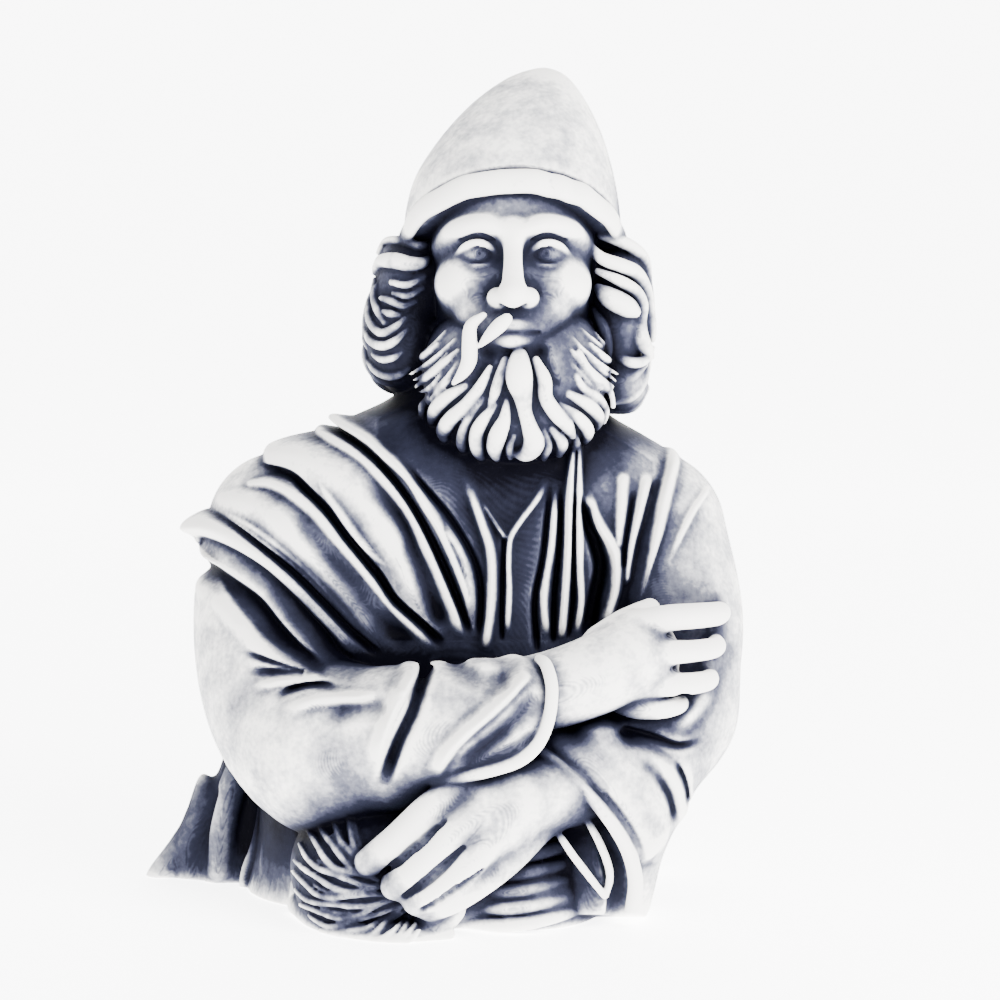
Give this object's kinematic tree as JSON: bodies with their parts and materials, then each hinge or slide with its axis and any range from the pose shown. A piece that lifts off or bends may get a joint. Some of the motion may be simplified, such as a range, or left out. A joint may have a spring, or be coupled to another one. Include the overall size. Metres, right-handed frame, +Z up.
{
  "type": "plaster bust",
  "caption": "Desk bust of a bearded man in a pointed cap, arms crossed in wide sleeves over a bundle, cast in one piece with a flat underside.",
  "frame": {"origin": "middle of the bounding box on the flat underside, which is the plane the bust stands on", "axes": "+Z up towards the tip of the cap, the face looks along -Y, +X towards the figure's left arm"},
  "size_m": [0.1325, 0.0909, 0.1801],
  "materials": {
    "plaster": "matt cast gypsum plaster, white on the high places, with a dark blue-grey wash left in the carving"
  },
  "bodies": {
    "root": {"bust": "plaster"}
  },
  "joints": []
}
